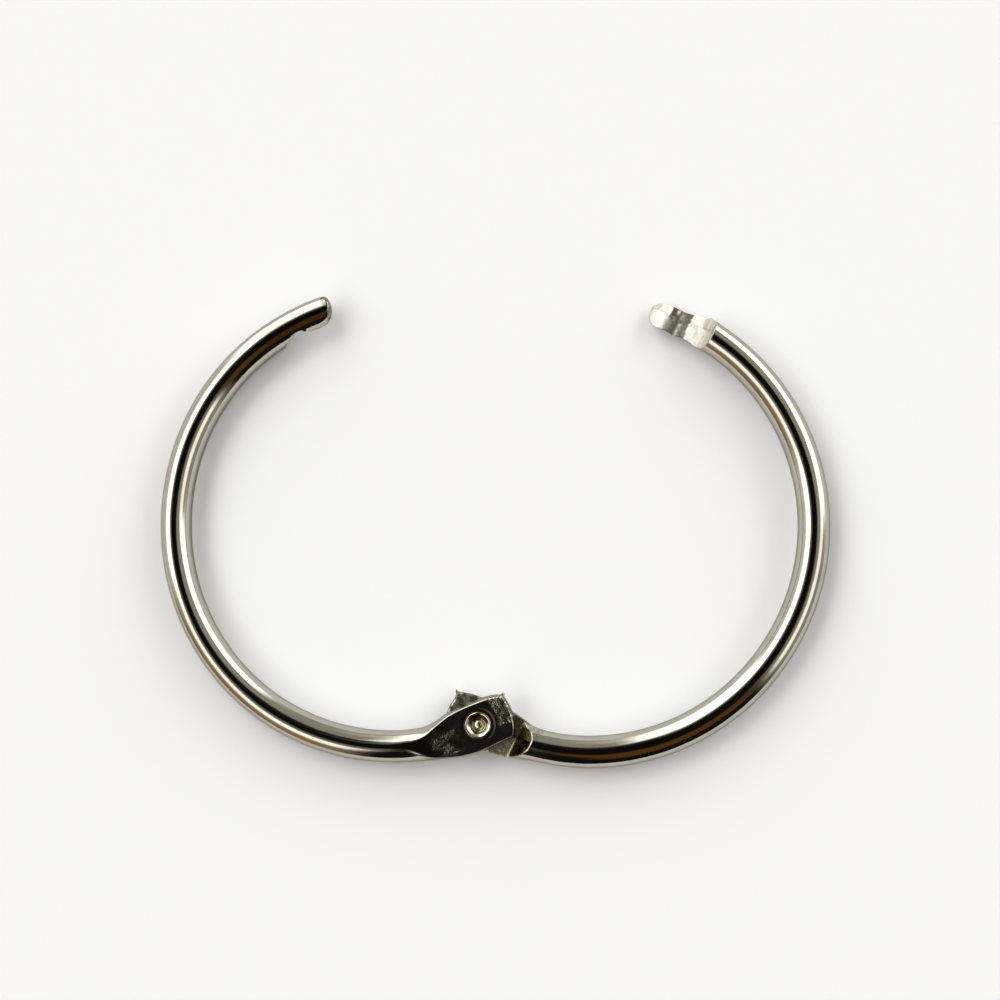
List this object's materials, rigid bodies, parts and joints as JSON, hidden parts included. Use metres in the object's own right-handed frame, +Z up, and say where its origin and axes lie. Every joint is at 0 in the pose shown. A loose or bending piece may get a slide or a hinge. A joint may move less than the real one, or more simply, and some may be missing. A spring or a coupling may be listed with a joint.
{
  "type": "binder ring",
  "caption": "Hinged binder ring of round nickel-plated wire: half rings turn on a hollow rivet through pressed tabs, and their free ends lap and catch each other.",
  "frame": {"origin": "middle of the outline in plan, on the surface that the ring lies on", "axes": "+X across the opening towards the half with the tongue, +Y from the hinge towards the free ends, +Z up, out of the ring's plane on the rivet's rolled side"},
  "size_m": [0.0798, 0.0556, 0.0038],
  "materials": {
    "plated_wire": "bright nickel plate, rougher and pitted on the pressed tabs and free ends",
    "plated_rivet": "bright nickel plate on a rolled rivet"
  },
  "bodies": {
    "left": {"left_half": "plated_wire", "rivet": "plated_rivet"},
    "right": {"right_half": "plated_wire"}
  },
  "joints": [
    {"name": "hinge", "type": "hinge", "parent": "left", "child": "right", "pos_m": [0, -0.02317, 0.00185], "axis": [0, 0, 1], "range_deg": [-80, 50]}
  ]
}
